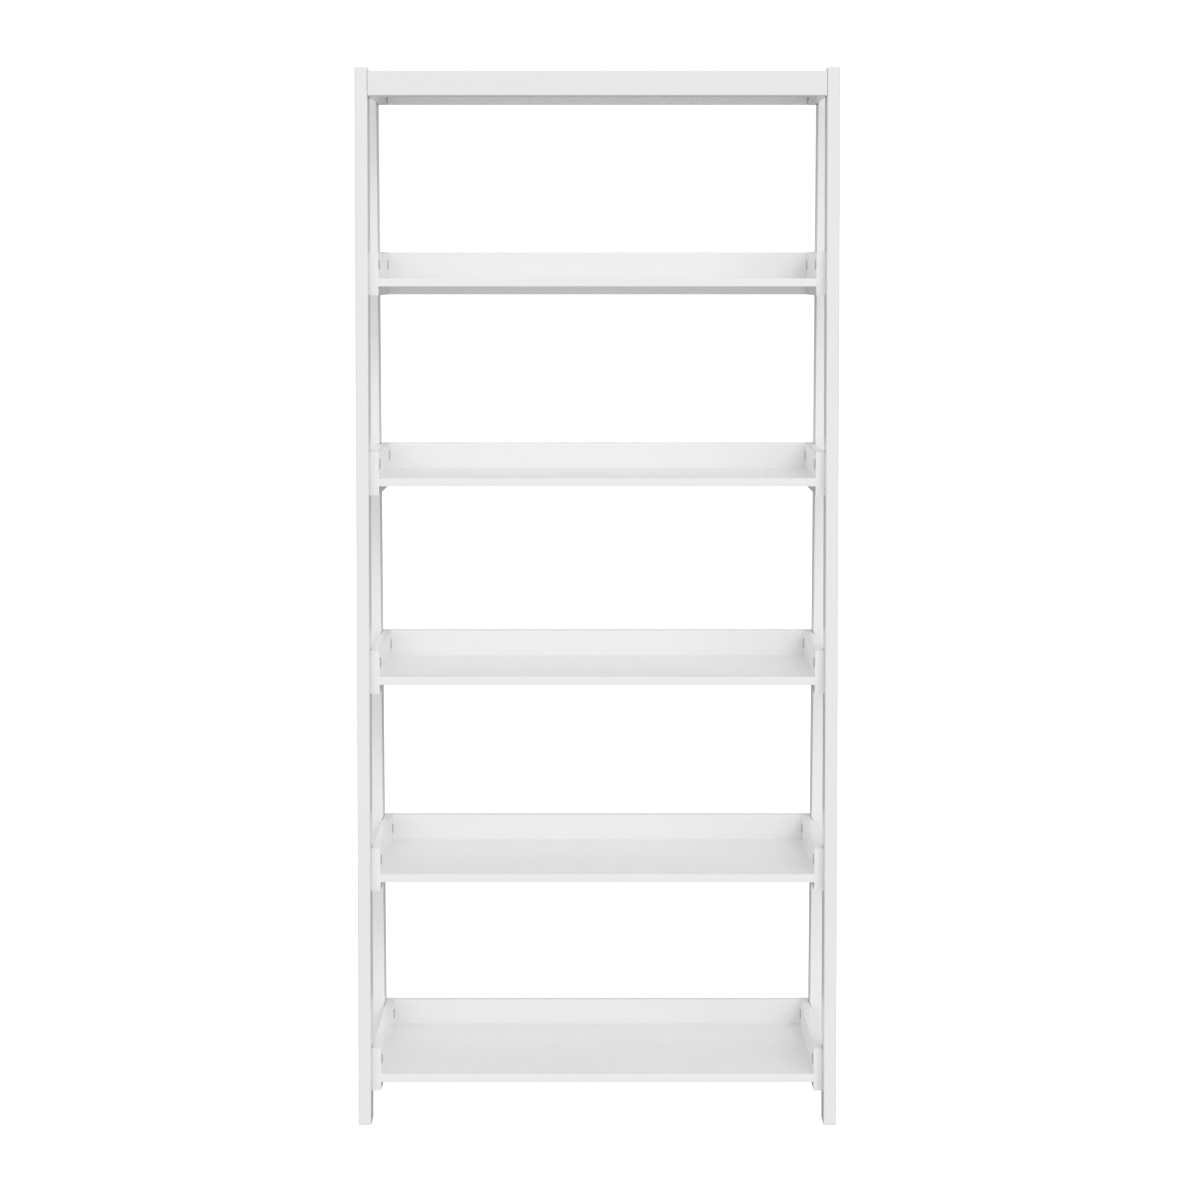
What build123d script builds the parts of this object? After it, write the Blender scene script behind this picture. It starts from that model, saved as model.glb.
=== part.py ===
from build123d import *

import os
from math import cos, radians, sin, tan

os.makedirs("parts", exist_ok=True)

# A white ladder shelf with five trays. Each side is a front leg that leans back and an upright rear
# leg. The trays and the top frame hang between the two sides, on bolts that go through their side
# panels into threaded inserts in the legs.
# Millimetres. X is the width, -Y is the front and Z is up. The origin is on the floor, at the middle
# of the footprint.

# Overall size
overall_width = 838
overall_depth = 356
overall_height = 1840

# Legs
leg_thickness = 22            # across the width
leg_depth = 48                # front to back
leg_edge_radius = 2           # along the leg
leg_end_radius = 1.5          # around the top end
front_lean = 3.72             # degrees that a front leg leans back

# Trays
tray_count = 5
lowest_floor = 82.5           # top of the lowest tray's board
lowest_bay = 353.5            # from the lowest board to the next one
bay = 347                     # from board to board above that
board_thickness = 14
side_thickness = 16
back_thickness = 13
rim_height = 46.5             # of the sides and the back, above the board
skirt_height = 15.5           # of the sides and the back, below the board
tray_setback = 18             # of a tray's front end behind the legs, level with its rim
panel_edge_radius = 1.2
board_edge_radius = 0.8

# Top frame
top_rail_thickness = 22
top_rail_height = 42.5
top_rail_drop = 6.5           # of the rail's top edge below the ends of the front legs
top_rail_edge_radius = 1.5
top_bolt_above_edge = 17      # of the top frame's bolts, above its bottom edge

# Connector bolts and their threaded inserts
bolt_above_board = 24
bolt_behind_tray_front = 15
bolt_before_back_panel = 17
bolt_head_diameter = 17
bolt_head_height = 1.4
bolt_head_radius = 0.6
bolt_diameter = 5.9
bolt_reach = 12               # into the insert
bolt_tip_chamfer = 0.8
socket_across_flats = 4
socket_depth = 2.6
bolt_hole_diameter = 6.6
insert_diameter = 10
insert_bore = 6
insert_length = 13
insert_rim_chamfer = 0.6

# Dowels
dowel_diameter = 6
dowel_into_face = 9           # into the face of a panel
dowel_into_edge = 20          # into the edge of a board
dowel_from_end = 35           # from the ends of a board's edge
back_dowel_spread = 44        # between the two dowels in the end of a back panel
top_dowel_spread = 22         # between the two dowels in an end of a top side panel
board_to_back_dowels = 4
board_to_side_dowels = 3
top_board_to_side_dowels = 2

# Worked out from the dimensions above
lean = radians(front_lean)
front_y = -overall_depth / 2
back_y = overall_depth / 2
leg_inner_x = overall_width / 2 - leg_thickness
tray_inner_x = leg_inner_x - side_thickness
back_panel_y = back_y - back_thickness
rear_bolt_y = back_panel_y - bolt_before_back_panel
front_leg_length = overall_height / cos(lean)
rear_leg_height = overall_height - leg_depth * sin(lean)
floors = [lowest_floor] + [lowest_floor + lowest_bay + bay * n for n in range(tray_count - 1)]
rail_top = front_leg_length - top_rail_drop
rail_bottom = rail_top - top_rail_height
frame_top = rail_top * cos(lean) - top_rail_thickness * sin(lean)
frame_bottom = rail_bottom * cos(lean) - top_rail_thickness * sin(lean)
top_bolt_z = frame_bottom + top_bolt_above_edge

# A leaning piece is made upright, its front face on Y = 0, and then put in this frame.
leaning = Pos(0, front_y, 0) * Rot(-front_lean, 0, 0)


def leg_front_y(z):
    """Y of the front legs' front face at a height."""
    return front_y + z * tan(lean)


def rail_back_y(z):
    """Y of the top rail's back face at a height."""
    return leg_front_y(z) + top_rail_thickness / cos(lean)


def tray_front_y(floor):
    """Y of a tray's front end."""
    return leg_front_y(floor + rim_height) + tray_setback


def tray_bottom(floor):
    """Z of the bottom edge of a tray's sides and back."""
    return floor - board_thickness - skirt_height


def block(x0, x1, y0, y1, z0, z1):
    """A box between two corners."""
    low = (min(x0, x1), y0, z0)
    return Pos(*low) * Box(abs(x1 - x0), y1 - y0, z1 - z0, align=(Align.MIN, Align.MIN, Align.MIN))


def prism(x0, x1, outline):
    """An outline of (Y, Z) points, stretched from x0 to x1."""
    face = Plane.YZ * Polygon(*outline, align=None)
    return Pos(min(x0, x1), 0, 0) * extrude(face, abs(x1 - x0))


def rod_along_x(x0, x1, y, z, diameter):
    """A round rod from x0 to x1."""
    rod = Cylinder(diameter / 2, abs(x1 - x0), align=(Align.CENTER, Align.CENTER, Align.MIN))
    return Pos(min(x0, x1), y, z) * Rot(0, 90, 0) * rod


def rod_along_y(x, y0, y1, z, diameter):
    """A round rod from y0 to y1."""
    rod = Cylinder(diameter / 2, y1 - y0, align=(Align.CENTER, Align.CENTER, Align.MIN))
    return Pos(x, y0, z) * Rot(-90, 0, 0) * rod


def edges_where(shape, axis, test):
    """The straight edges along an axis whose middle passes a test."""
    return [edge for edge in shape.edges().filter_by(axis) if test(edge.center())]


# Fasteners


def bolt(side, y, z):
    """A flat-headed connector bolt from inside the shelf into a leg, on the side -1 or +1."""
    shank_length = side_thickness + bolt_reach
    head = Cylinder(bolt_head_diameter / 2, bolt_head_height,
                    align=(Align.CENTER, Align.CENTER, Align.MAX))
    head = fillet(head.edges().group_by(Axis.Z)[0], bolt_head_radius)
    shank = Cylinder(bolt_diameter / 2, shank_length, align=(Align.CENTER, Align.CENTER, Align.MIN))
    shank = chamfer(shank.edges().group_by(Axis.Z)[-1], bolt_tip_chamfer)
    hexagon = RegularPolygon(socket_across_flats / 2, 6, major_radius=False)
    socket = Pos(0, 0, -bolt_head_height) * extrude(hexagon, socket_depth)
    upright = head + shank - socket
    return Pos(side * tray_inner_x, y, z) * Rot(0, side * 90, 0) * upright


def insert(side, y, z):
    """A threaded insert, its rim flush with the leg's inner face."""
    body = Cylinder(insert_diameter / 2, insert_length,
                    align=(Align.CENTER, Align.CENTER, Align.MIN))
    bore = Cylinder(insert_bore / 2, insert_length,
                    align=(Align.CENTER, Align.CENTER, Align.MIN))
    ring = body - bore
    mouth = ring.edges().group_by(Axis.Z)[0].sort_by(SortBy.RADIUS)[0]
    ring = chamfer(mouth, insert_rim_chamfer)
    return Pos(side * leg_inner_x, y, z) * Rot(0, side * 90, 0) * ring


def insert_hole(side, y, z):
    """The blind hole in a leg for an insert."""
    return rod_along_x(side * leg_inner_x, side * (leg_inner_x + insert_length), y, z, insert_diameter)


def bolt_hole(side, y, z):
    """The clearance hole for a bolt through a side panel."""
    return rod_along_x(side * tray_inner_x, side * leg_inner_x, y, z, bolt_hole_diameter)


def board_dowels(side, y_front, y_back, z, count):
    """Dowels along X between a board's end and the side panel there."""
    face_end = side * (tray_inner_x + dowel_into_face)
    edge_end = side * (tray_inner_x - dowel_into_edge)
    first = y_front + dowel_from_end
    last = y_back - dowel_from_end
    places = [first + (last - first) * n / (count - 1) for n in range(count)]
    return [rod_along_x(edge_end, face_end, y, z, dowel_diameter) for y in places]


def back_dowels(side, z_middle, spread):
    """Two dowels between a back panel's end and the side panel there."""
    y = (back_panel_y + back_y) / 2
    face_end = side * (tray_inner_x + dowel_into_face)
    edge_end = side * (tray_inner_x - dowel_into_edge)
    heights = (z_middle - spread / 2, z_middle + spread / 2)
    return [rod_along_x(edge_end, face_end, y, z, dowel_diameter) for z in heights]


def row_along_x(y0, y1, z):
    """Dowels along Y, spaced evenly along the length of a board."""
    pitch = 2 * tray_inner_x / board_to_back_dowels
    places = [-tray_inner_x + pitch * (n + 0.5) for n in range(board_to_back_dowels)]
    return [rod_along_y(x, y0, y1, z, dowel_diameter) for x in places]


# Legs


def tray_bolt_places(floor):
    """(Y, Z) of the front and the rear bolt on each side of a tray."""
    z = floor + bolt_above_board
    return [(tray_front_y(floor) + bolt_behind_tray_front, z), (rear_bolt_y, z)]


def top_bolt_places():
    """(Y, Z) of the front and the rear bolt on each side of the top frame."""
    front = (rail_back_y(top_bolt_z) + bolt_behind_tray_front, top_bolt_z)
    return [front, (rear_bolt_y, top_bolt_z)]


def leg_bar(length):
    """An upright leg with its front face on Y = 0 and its foot on Z = 0."""
    section = Pos(0, leg_depth / 2, 0) * RectangleRounded(leg_thickness, leg_depth, leg_edge_radius)
    bar = extrude(section, length)
    return fillet(bar.edges().group_by(Axis.Z)[-1], leg_end_radius)


def front_leg(side):
    """A leaning leg, cut level where it stands on the floor."""
    overlap = leg_depth * tan(lean)
    bar = Pos(side * (leg_inner_x + leg_thickness / 2), 0, -overlap)
    bar = leaning * bar * leg_bar(front_leg_length + overlap)
    below_floor = block(-overall_width, overall_width, -overall_depth, overall_depth, -overall_depth, 0)
    places = [tray_bolt_places(floor)[0] for floor in floors] + [top_bolt_places()[0]]
    return bar - below_floor - [insert_hole(side, y, z) for y, z in places]


def rear_leg(side):
    """An upright leg at the back."""
    bar = Pos(side * (leg_inner_x + leg_thickness / 2), back_y - leg_depth, 0)
    bar = bar * leg_bar(rear_leg_height)
    places = [tray_bolt_places(floor)[1] for floor in floors] + [top_bolt_places()[1]]
    return bar - [insert_hole(side, y, z) for y, z in places]


# Trays


def tray_dowels(floor):
    """All of a tray's dowels: board to sides, back to sides and board to back."""
    middle_of_board = floor - board_thickness / 2
    middle_of_back = (tray_bottom(floor) + floor + rim_height) / 2
    dowels = row_along_x(back_panel_y - dowel_into_edge, back_panel_y + dowel_into_face,
                         middle_of_board)
    for side in (-1, 1):
        dowels += board_dowels(side, tray_front_y(floor), back_panel_y, middle_of_board,
                               board_to_side_dowels)
        dowels += back_dowels(side, middle_of_back, back_dowel_spread)
    return dowels


def tray_board(floor):
    """The flat board that things stand on."""
    board = block(-tray_inner_x, tray_inner_x, tray_front_y(floor), back_panel_y,
                  floor - board_thickness, floor)
    front = edges_where(board, Axis.X, lambda point: point.Y < 0)
    return fillet(front, board_edge_radius) - tray_dowels(floor)


def tray_side(floor, side):
    """A side panel, from the front end to the rear leg's back face."""
    panel = block(side * tray_inner_x, side * leg_inner_x, tray_front_y(floor), back_y,
                  tray_bottom(floor), floor + rim_height)
    panel = fillet(panel.edges().filter_by(Axis.Y), panel_edge_radius)
    holes = [bolt_hole(side, y, z) for y, z in tray_bolt_places(floor)]
    return panel - holes - tray_dowels(floor)


def tray_back(floor):
    """The back panel between the two sides."""
    panel = block(-tray_inner_x, tray_inner_x, back_panel_y, back_y,
                  tray_bottom(floor), floor + rim_height)
    panel = fillet(panel.edges().filter_by(Axis.X), panel_edge_radius)
    return panel - tray_dowels(floor)


# Top frame


def top_dowels():
    """All of the top frame's dowels: board to all four sides, and the panels to each other."""
    middle_of_board = frame_top - board_thickness / 2
    board_front = rail_back_y(middle_of_board)
    dowels = row_along_x(back_panel_y - dowel_into_edge, back_panel_y + dowel_into_face,
                         middle_of_board)
    dowels += row_along_x(board_front - dowel_into_face, board_front + dowel_into_edge,
                          middle_of_board)
    side_x = tray_inner_x + side_thickness / 2
    for side in (-1, 1):
        dowels += board_dowels(side, board_front, back_panel_y, middle_of_board,
                               top_board_to_side_dowels)
        dowels += back_dowels(side, top_bolt_z, top_dowel_spread)
        for z in (top_bolt_z - top_dowel_spread / 2, top_bolt_z + top_dowel_spread / 2):
            y = rail_back_y(z)
            dowels.append(rod_along_y(side * side_x, y - dowel_into_face, y + dowel_into_edge, z,
                                      dowel_diameter))
    return dowels


def top_front_rail():
    """The rail between the ends of the front legs, which leans with them."""
    rail = block(-leg_inner_x, leg_inner_x, 0, top_rail_thickness, rail_bottom, rail_top)
    front = edges_where(rail, Axis.X, lambda point: point.Y < top_rail_thickness / 2)
    return leaning * fillet(front, top_rail_edge_radius) - top_dowels()


def top_outline(bottom, back):
    """The (Y, Z) outline of a piece that starts on the rail's leaning back face."""
    return [(rail_back_y(bottom), bottom), (back, bottom), (back, frame_top),
            (rail_back_y(frame_top), frame_top)]


def top_side(side):
    """A side panel of the top frame."""
    panel = prism(side * tray_inner_x, side * leg_inner_x, top_outline(frame_bottom, back_y))
    panel = fillet(panel.edges().filter_by(Axis.Y), panel_edge_radius)
    holes = [bolt_hole(side, y, z) for y, z in top_bolt_places()]
    return panel - holes - top_dowels()


def top_board():
    """The board that closes the top, level with the panels around it."""
    outline = top_outline(frame_top - board_thickness, back_panel_y)
    return prism(-tray_inner_x, tray_inner_x, outline) - top_dowels()


def top_back_rail():
    """The rail at the back of the top frame."""
    rail = block(-tray_inner_x, tray_inner_x, back_panel_y, back_y, frame_bottom, frame_top)
    behind = edges_where(rail, Axis.X, lambda point: point.Y > (back_panel_y + back_y) / 2)
    return fillet(behind, panel_edge_radius) - top_dowels()


# Assembly


def both_sides(make, places):
    """The same fastener at each place on the left side and on the right side."""
    return [make(side, y, z) for side in (-1, 1) for y, z in places]


def group(solids):
    """Separate solids that share one node."""
    return Compound([solid for shape in solids for solid in shape.solids()])


pieces = {}
for name, side in (("left", -1), ("right", 1)):
    pieces[f"front_leg_{name}"] = front_leg(side)
    pieces[f"rear_leg_{name}"] = rear_leg(side)

for number, floor in enumerate(floors, start=1):
    tray = f"tray_{number}"
    pieces[f"{tray}_board"] = tray_board(floor)
    pieces[f"{tray}_side_left"] = tray_side(floor, -1)
    pieces[f"{tray}_side_right"] = tray_side(floor, 1)
    pieces[f"{tray}_back"] = tray_back(floor)
    pieces[f"{tray}_dowels"] = group(tray_dowels(floor))
    pieces[f"{tray}_bolts"] = group(both_sides(bolt, tray_bolt_places(floor)))
    pieces[f"{tray}_inserts"] = group(both_sides(insert, tray_bolt_places(floor)))

pieces["top_front_rail"] = top_front_rail()
pieces["top_side_left"] = top_side(-1)
pieces["top_side_right"] = top_side(1)
pieces["top_back_rail"] = top_back_rail()
pieces["top_board"] = top_board()
pieces["top_dowels"] = group(top_dowels())
pieces["top_bolts"] = group(both_sides(bolt, top_bolt_places()))
pieces["top_inserts"] = group(both_sides(insert, top_bolt_places()))

for name, shape in pieces.items():
    export_step(shape, f"parts/{name}.step")
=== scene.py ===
from math import radians

import bpy
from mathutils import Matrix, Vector


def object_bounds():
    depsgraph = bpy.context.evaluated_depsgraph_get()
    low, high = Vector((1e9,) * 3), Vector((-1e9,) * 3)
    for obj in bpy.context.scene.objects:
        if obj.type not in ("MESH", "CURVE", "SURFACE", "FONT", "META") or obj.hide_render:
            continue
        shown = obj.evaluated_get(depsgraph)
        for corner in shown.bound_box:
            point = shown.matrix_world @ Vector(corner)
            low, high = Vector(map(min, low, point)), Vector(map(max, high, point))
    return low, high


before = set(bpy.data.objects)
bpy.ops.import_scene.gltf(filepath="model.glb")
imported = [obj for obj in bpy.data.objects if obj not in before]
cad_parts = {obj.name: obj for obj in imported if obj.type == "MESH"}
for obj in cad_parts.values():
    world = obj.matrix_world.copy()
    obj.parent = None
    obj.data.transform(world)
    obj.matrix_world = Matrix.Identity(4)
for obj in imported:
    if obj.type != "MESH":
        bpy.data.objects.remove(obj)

# A white painted ladder shelf. Every piece that shows is a CAD node with a material of its own kind,
# its grain running along the piece. Metres, +Z up, -Y is the front.

cad_low, cad_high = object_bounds()
middle = (cad_low + cad_high) / 2

tray_count = 5

# Satin white paint
paint_tints = ((0.896, 0.898, 0.901), (0.924, 0.924, 0.922))
paint_roughness = (0.28, 0.36)
grain_depth = 0.0002
roller_depth = 0.00015
# Painted shade: the paint is darkened where another piece comes near, where shade falls in a joint or
# corner
joint_shade_colour = (0.16, 0.16, 0.16, 1)
joint_shade_reach = 0.004           # how near another piece has to be for painted shade in a joint
joint_shade_openness = (0.35, 0.85)  # from the deepest painted shade in a joint to none

# Bare wood and plated metal
beech_tints = ((0.50, 0.33, 0.18), (0.66, 0.47, 0.29))
beech_roughness = 0.6
nickel = (0.56, 0.56, 0.57, 1)
zinc = (0.60, 0.60, 0.56, 1)
scratch_roughness = 0.08      # how far scratches take a metal's roughness either way

# Floor and camera
floor_reach = 30.0
floor_glow = 0.85
camera_distance = 4.5         # from the front feet
camera_height = 1.488
camera_aim_height = 0.976
camera_lens = 79.2            # millimetres, on a sensor 36 mm wide
camera_shift = (0.0022, -0.0325)

# Light. A direction's parts go from -1 to 1, and each pair is where a change starts and ends.
light_softness = 30.0         # degrees across
backdrop_strength = 1.05
horizon = (-0.2, 0.2)         # upward, from the light below to the light above
overhead = (0.5, 0.9)         # upward
off_to_a_side = (0.35, 0.75)  # sideways
well_behind = (0.0, 0.5)      # backward
just_behind = (0.0, 0.3)      # backward


# Shader nodes


def node(tree, kind, settings=None, **inputs):
    """A shader node with its settings and its sockets' values; a socket's value may be a link."""
    made = tree.nodes.new(kind)
    for name, value in (settings or {}).items():
        setattr(made, name, value)
    for name, value in inputs.items():
        socket = made.inputs[name.replace("_", " ")]
        if isinstance(value, bpy.types.NodeSocket):
            tree.links.new(value, socket)
        else:
            socket.default_value = value
    return made


def ramp(tree, value, span, from_value, to_value):
    """Goes smoothly from one value to another while its input goes over a span."""
    start, end = span
    return node(tree, "ShaderNodeMapRange", {"interpolation_type": "SMOOTHSTEP"}, Value=value,
                From_Min=start, From_Max=end, To_Min=from_value, To_Max=to_value).outputs["Result"]


def spread(tree, value, lowest, highest):
    """Stretches an input of 0 to 1 over another range."""
    return node(tree, "ShaderNodeMapRange", Value=value, To_Min=lowest, To_Max=highest).outputs["Result"]


def product(tree, *factors):
    """Multiplies shader values."""
    result = factors[0]
    for factor in factors[1:]:
        times = node(tree, "ShaderNodeMath", {"operation": "MULTIPLY"})
        tree.links.new(result, times.inputs[0])
        tree.links.new(factor, times.inputs[1])
        result = times.outputs[0]
    return result


def mixed(tree, factor, first, second):
    """Goes from one colour to another as its factor goes from 0 to 1."""
    mix = node(tree, "ShaderNodeMix", {"data_type": "RGBA"}, Factor=factor)
    for name, colour in (("A", first), ("B", second)):
        if isinstance(colour, bpy.types.NodeSocket):
            tree.links.new(colour, mix.inputs[name])
        else:
            mix.inputs[name].default_value = colour
    return mix.outputs["Result"]


def stretched(tree, grain, along, across):
    """Object coordinates scaled by along on the grain's axis and by across on the other two."""
    scale = [along if axis == grain else across for axis in "XYZ"]
    place = node(tree, "ShaderNodeTexCoord")
    return node(tree, "ShaderNodeMapping", Vector=place.outputs["Object"], Scale=scale).outputs[0]


def seeded_noise(tree, seed, detail, roughness, place):
    """Noise of 0 to 1, with a pattern of its own for each seed."""
    return node(tree, "ShaderNodeTexNoise", {"noise_dimensions": "4D"}, W=seed, Scale=1.0,
                Detail=detail, Roughness=roughness, Vector=place).outputs["Fac"]


def plain_noise(tree, detail, place):
    """Noise of 0 to 1."""
    return node(tree, "ShaderNodeTexNoise", Scale=1.0, Detail=detail, Vector=place).outputs["Fac"]


# Materials


def new_material(name):
    """A new material, its node tree and its shader."""
    material = bpy.data.materials.new(name)
    material.use_nodes = True
    tree = material.node_tree
    return material, tree, tree.nodes["Principled BSDF"]


def painted_wood(name, grain, seed, joints=0.0, shade=1.0):
    """Satin white paint over smooth wood, with a trace of the grain and of the roller in its surface.

    Joint shade is how deep the painted shade is in a narrow joint or corner with another piece, and
    shade is how much lighter or darker the paint is painted than that of the trays, as painted light
    and shade for parts that the light falls on differently."""
    material, tree, shader = new_material(name)
    streaks = seeded_noise(tree, seed, detail=4.0, roughness=0.6,
                           place=stretched(tree, grain, along=5.0, across=260.0))
    peel = seeded_noise(tree, seed + 1, detail=2.0, roughness=0.5,
                        place=stretched(tree, grain, along=420.0, across=420.0))
    clouds = seeded_noise(tree, seed + 2, detail=3.0, roughness=0.5,
                          place=stretched(tree, grain, along=3.0, across=9.0))
    # shade makes the whole paint lighter or darker: painted light and shade for parts that the light
    # reaches differently
    first, second = [[channel * shade for channel in tint] + [1] for tint in paint_tints]
    # Painted shade: the paint darkens where other pieces are near, in a joint or a corner, where shade
    # falls
    openness = node(tree, "ShaderNodeAmbientOcclusion", {"samples": 8}, Distance=joint_shade_reach)
    in_joint_shade = ramp(tree, openness.outputs["AO"], joint_shade_openness, joints, 0.0)
    colour = mixed(tree, in_joint_shade, mixed(tree, clouds, first, second), joint_shade_colour)
    grained = node(tree, "ShaderNodeBump", Height=streaks, Strength=0.6, Distance=grain_depth)
    rolled = node(tree, "ShaderNodeBump", Height=peel, Strength=0.5, Distance=roller_depth,
                  Normal=grained.outputs["Normal"])
    tree.links.new(colour, shader.inputs["Base Color"])
    tree.links.new(spread(tree, clouds, *paint_roughness), shader.inputs["Roughness"])
    tree.links.new(rolled.outputs["Normal"], shader.inputs["Normal"])
    return material


def bare_wood(name):
    """Beech with fine fibres, for the dowels."""
    material, tree, shader = new_material(name)
    fibres = plain_noise(tree, detail=5.0, place=stretched(tree, "X", along=40.0, across=900.0))
    first, second = [[*tint, 1] for tint in beech_tints]
    tree.links.new(mixed(tree, fibres, first, second), shader.inputs["Base Color"])
    shader.inputs["Roughness"].default_value = beech_roughness
    return material


def plated_steel(name, colour, roughness):
    """Plated steel with fine scratches."""
    material, tree, shader = new_material(name)
    shader.inputs["Base Color"].default_value = colour
    shader.inputs["Metallic"].default_value = 1.0
    scratches = plain_noise(tree, detail=4.0, place=stretched(tree, "Z", along=300.0, across=4000.0))
    gloss = spread(tree, scratches, roughness - scratch_roughness, roughness + scratch_roughness)
    tree.links.new(gloss, shader.inputs["Roughness"])
    return material


def paint(names, material):
    """Gives CAD nodes a material."""
    for name in names:
        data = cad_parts[name].data
        data.materials.clear()
        data.materials.append(material)


def finish_pieces():
    """Gives every node its material."""
    trays = [f"tray_{number}" for number in range(1, tray_count + 1)]
    frames = trays + ["top"]
    sides = ("left", "right")
    # The front legs and top rail are painted darker and the rear legs, top back rail and top board
    # lighter than the trays: painted shade and painted light for how the light falls on them
    paint([f"front_leg_{side}" for side in sides],
          painted_wood("paint_on_front_legs", grain="Z", seed=3.0, joints=0.9, shade=0.945))
    paint([f"rear_leg_{side}" for side in sides],
          painted_wood("paint_on_rear_legs", grain="Z", seed=5.0, joints=0.9, shade=1.03))
    paint([f"{tray}_{part}" for tray in trays for part in ("board", "back")],
          painted_wood("paint_on_boards", grain="X", seed=11.0))
    paint([f"{tray}_side_{side}" for tray in trays for side in sides],
          painted_wood("paint_on_sides", grain="Y", seed=23.0))
    paint(["top_front_rail"],
          painted_wood("paint_on_top_rail", grain="X", seed=29.0, joints=0.9, shade=0.93))
    paint(["top_back_rail", "top_board"],
          painted_wood("paint_on_top", grain="X", seed=31.0, joints=0.9, shade=1.03))
    paint([f"top_side_{side}" for side in sides],
          painted_wood("paint_on_top_sides", grain="Y", seed=37.0, joints=0.9))
    paint([f"{name}_dowels" for name in frames], bare_wood("beech_dowel"))
    paint([f"{name}_bolts" for name in frames], plated_steel("nickel_bolt", nickel, roughness=0.34))
    paint([f"{name}_inserts" for name in frames], plated_steel("zinc_insert", zinc, roughness=0.45))


# The floor, the light and the camera


def make_floor():
    """A plain white floor. Its own glow keeps all but the closest shadow out of it.

    It throws no light on the shelf, and the paint doesn't mirror it."""
    corners = [(-1, -1), (1, -1), (1, 1), (-1, 1)]
    data = bpy.data.meshes.new("floor")
    data.from_pydata([(x * floor_reach, y * floor_reach, cad_low.z) for x, y in corners], [],
                     [(0, 1, 2, 3)])
    floor = bpy.data.objects.new("floor", data)
    floor.visible_diffuse = False
    floor.visible_glossy = False
    bpy.context.scene.collection.objects.link(floor)
    material, _, shader = new_material("pale_floor")
    shader.inputs["Base Color"].default_value = (0.35, 0.35, 0.35, 1)
    shader.inputs["Roughness"].default_value = 1.0
    shader.inputs["Specular IOR Level"].default_value = 0.0
    shader.inputs["Emission Color"].default_value = (1, 1, 1, 1)
    shader.inputs["Emission Strength"].default_value = floor_glow
    data.materials.append(material)


def sun_light(name, azimuth, elevation, strength):
    """A soft light from far off, like a large softbox. Azimuth 0 is straight in front, 90 the right."""
    data = bpy.data.lights.new(name, "SUN")
    data.angle = radians(light_softness)
    data.energy = strength
    light = bpy.data.objects.new(name, data)
    light.rotation_euler = (radians(90 - elevation), 0, radians(azimuth))
    bpy.context.scene.collection.objects.link(light)


def make_world(level, below, ceiling, sides, low_sides, back, mirrored):
    """White light from all around, with less of it from below, the ceiling, the two sides and behind.

    Glossy surfaces mirror only a share of what is behind them, and the camera sees plain white."""
    world = bpy.data.worlds.new("studio")
    world.use_nodes = True
    tree = world.node_tree
    place = node(tree, "ShaderNodeTexCoord")
    direction = node(tree, "ShaderNodeSeparateXYZ", Vector=place.outputs["Generated"])
    backward = direction.outputs["Y"]
    upward = direction.outputs["Z"]
    sideways = node(tree, "ShaderNodeMath", {"operation": "ABSOLUTE"},
                    Value=direction.outputs["X"]).outputs[0]
    low = ramp(tree, sideways, off_to_a_side, level * below, level * low_sides)
    high = ramp(tree, sideways, off_to_a_side, level, level * sides)
    ray = node(tree, "ShaderNodeLightPath")
    reflected = product(tree, ray.outputs["Is Glossy Ray"], ramp(tree, backward, just_behind, 0.0, 1.0))
    strength = product(tree,
                       ramp(tree, upward, horizon, low, high),
                       ramp(tree, upward, overhead, 1.0, ceiling),
                       ramp(tree, backward, well_behind, 1.0, back),
                       ramp(tree, reflected, (0.0, 1.0), 1.0, mirrored))
    lighting = node(tree, "ShaderNodeBackground", Color=(1, 1, 1, 1), Strength=strength)
    backdrop = node(tree, "ShaderNodeBackground", Color=(1, 1, 1, 1), Strength=backdrop_strength)
    both = node(tree, "ShaderNodeMixShader")
    tree.links.new(ray.outputs["Is Camera Ray"], both.inputs[0])
    tree.links.new(lighting.outputs[0], both.inputs[1])
    tree.links.new(backdrop.outputs[0], both.inputs[2])
    tree.links.new(both.outputs[0], tree.nodes["World Output"].inputs["Surface"])
    bpy.context.scene.world = world


def make_camera():
    """The camera stands straight in front, a little below the top, and looks slightly down."""
    data = bpy.data.cameras.new("camera")
    data.sensor_width = 36.0
    data.lens = camera_lens
    data.shift_x, data.shift_y = camera_shift
    camera = bpy.data.objects.new("camera", data)
    camera.location = (middle.x, cad_low.y - camera_distance, camera_height)
    aim = Vector((middle.x, middle.y, camera_aim_height))
    camera.rotation_euler = (aim - camera.location).to_track_quat("-Z", "Y").to_euler()
    bpy.context.scene.collection.objects.link(camera)
    bpy.context.scene.camera = camera


finish_pieces()
make_floor()
make_world(level=1.29, below=0.6, ceiling=0.62, sides=0.74, low_sides=0.1, back=0.82, mirrored=0.35)
sun_light("key", azimuth=25, elevation=38, strength=0.44)
make_camera()

bpy.context.scene.view_settings.view_transform = "Standard"
